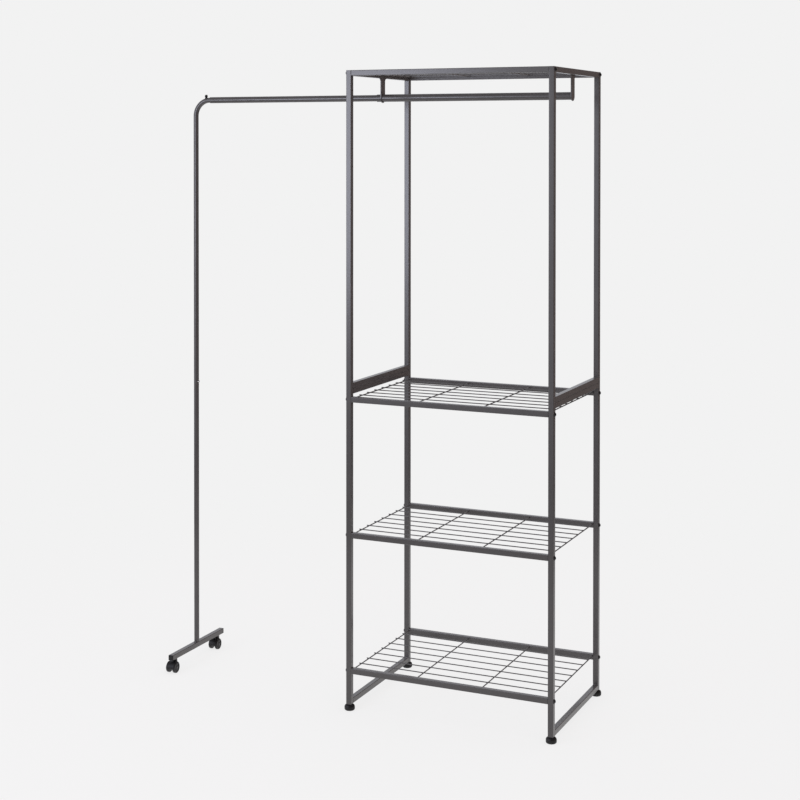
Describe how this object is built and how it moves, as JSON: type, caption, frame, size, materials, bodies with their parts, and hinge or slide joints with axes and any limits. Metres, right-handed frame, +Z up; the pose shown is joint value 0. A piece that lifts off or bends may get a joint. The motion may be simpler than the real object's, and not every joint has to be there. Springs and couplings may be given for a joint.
{
  "type": "sliding clothes rack",
  "caption": "Freestanding clothes rack: square-tube frame with wire shelves, a hanging pipe under the top, and a thinner pipe on a wheeled leg that pulls out to one side.",
  "frame": {"origin": "on the floor, under the middle of the whole rack's box with the pipe pulled out", "axes": "+Z up; -Y is the open front of the shelves; -X is the side the pipe pulls out to"},
  "size_m": [1.2868, 0.4394, 1.85],
  "materials": {
    "frame_paint": "satin dark grey powder coat on square steel tube",
    "pipe_paint": "satin dark grey powder coat on round steel tube",
    "wire_paint": "satin dark grey powder coat on welded steel wire",
    "black_bolt": "black coated domed bolt heads",
    "bright_steel": "bright nickel-plated steel",
    "plated_steel": "dull zinc-plated steel",
    "black_plastic": "fine-grained black moulded plastic",
    "wheel_plastic": "smooth black hard plastic"
  },
  "bodies": {
    "rack": {"post_upper_left_front": "frame_paint", "post_lower_left_front": "frame_paint", "post_upper_left_rear": "frame_paint", "post_lower_left_rear": "frame_paint", "post_upper_right_front": "frame_paint", "post_lower_right_front": "frame_paint", "post_upper_right_rear": "frame_paint", "post_lower_right_rear": "frame_paint", "side_bar_left_top": "frame_paint", "side_bar_left_joint_upper": "frame_paint", "side_bar_left_joint_lower": "frame_paint", "side_bar_left_foot": "frame_paint", "side_bar_right_top": "frame_paint", "side_bar_right_joint_upper": "frame_paint", "side_bar_right_joint_lower": "frame_paint", "side_bar_right_foot": "frame_paint", "rail_top_front": "frame_paint", "rail_top_rear": "frame_paint", "wire_shelf_top": "wire_paint", "rail_high_front": "frame_paint", "rail_high_rear": "frame_paint", "wire_shelf_high": "wire_paint", "rail_middle_front": "frame_paint", "rail_middle_rear": "frame_paint", "wire_shelf_middle": "wire_paint", "rail_low_front": "frame_paint", "rail_low_rear": "frame_paint", "wire_shelf_low": "wire_paint", "post_joiners": "plated_steel", "rail_bolts": "black_bolt", "rail_nuts": "plated_steel", "foot_inserts": "black_plastic", "hanger_bracket_left": "frame_paint", "hanger_bracket_right": "frame_paint", "hanger_pipe": "pipe_paint"},
    "extension": {"slide_pipe": "pipe_paint", "slide_guide": "black_plastic", "upper_leg": "pipe_paint", "hanger_stop": "black_plastic", "lower_leg": "pipe_paint", "button_spring": "bright_steel", "base_bar": "frame_paint", "base_end_caps": "black_plastic", "caster_sockets": "pipe_paint", "caster_stems": "bright_steel"},
    "snap_button": {"snap_button": "bright_steel"},
    "foot_left_front": {"foot_left_front": "black_plastic"},
    "foot_left_rear": {"foot_left_rear": "black_plastic"},
    "foot_right_front": {"foot_right_front": "black_plastic"},
    "foot_right_rear": {"foot_right_rear": "black_plastic"},
    "caster_front": {"caster_housing_front": "black_plastic", "caster_axle_front": "bright_steel"},
    "caster_wheel_front_left": {"caster_wheel_front_left": "wheel_plastic"},
    "caster_wheel_front_right": {"caster_wheel_front_right": "wheel_plastic"},
    "caster_rear": {"caster_housing_rear": "black_plastic", "caster_axle_rear": "bright_steel"},
    "caster_wheel_rear_left": {"caster_wheel_rear_left": "wheel_plastic"},
    "caster_wheel_rear_right": {"caster_wheel_rear_right": "wheel_plastic"}
  },
  "joints": [
    {"name": "extension_slide", "type": "slide", "parent": "rack", "child": "extension", "axis": [1, 0, 0], "range_m": [0, 0.538]},
    {"name": "snap_button_press", "type": "slide", "parent": "extension", "child": "snap_button", "axis": [-1, 0, 0], "range_m": [0, 0.0034], "stiffness_N_per_m": 800, "springref_m": -0.002, "deforming": ["button_spring"]},
    {"name": "foot_left_front_screw", "type": "slide", "parent": "rack", "child": "foot_left_front", "axis": [0, 0, -1], "range_m": [0, 0.008]},
    {"name": "foot_left_rear_screw", "type": "slide", "parent": "rack", "child": "foot_left_rear", "axis": [0, 0, -1], "range_m": [0, 0.008]},
    {"name": "foot_right_front_screw", "type": "slide", "parent": "rack", "child": "foot_right_front", "axis": [0, 0, -1], "range_m": [0, 0.008]},
    {"name": "foot_right_rear_screw", "type": "slide", "parent": "rack", "child": "foot_right_rear", "axis": [0, 0, -1], "range_m": [0, 0.008]},
    {"name": "caster_front_swivel", "type": "hinge", "parent": "extension", "child": "caster_front", "pos_m": [-0.62782, -0.126, 0.016], "axis": [0, 0, 1], "continuous": true},
    {"name": "caster_wheel_front_left_spin", "type": "hinge", "parent": "caster_front", "child": "caster_wheel_front_left", "pos_m": [-0.62782, -0.1405, 0.016], "axis": [1, 0, 0], "continuous": true},
    {"name": "caster_wheel_front_right_spin", "type": "hinge", "parent": "caster_front", "child": "caster_wheel_front_right", "pos_m": [-0.62782, -0.1405, 0.016], "axis": [1, 0, 0], "continuous": true},
    {"name": "caster_rear_swivel", "type": "hinge", "parent": "extension", "child": "caster_rear", "pos_m": [-0.62782, 0.126, 0.016], "axis": [0, 0, 1], "continuous": true},
    {"name": "caster_wheel_rear_left_spin", "type": "hinge", "parent": "caster_rear", "child": "caster_wheel_rear_left", "pos_m": [-0.62782, 0.1115, 0.016], "axis": [1, 0, 0], "continuous": true},
    {"name": "caster_wheel_rear_right_spin", "type": "hinge", "parent": "caster_rear", "child": "caster_wheel_rear_right", "pos_m": [-0.62782, 0.1115, 0.016], "axis": [1, 0, 0], "continuous": true}
  ]
}
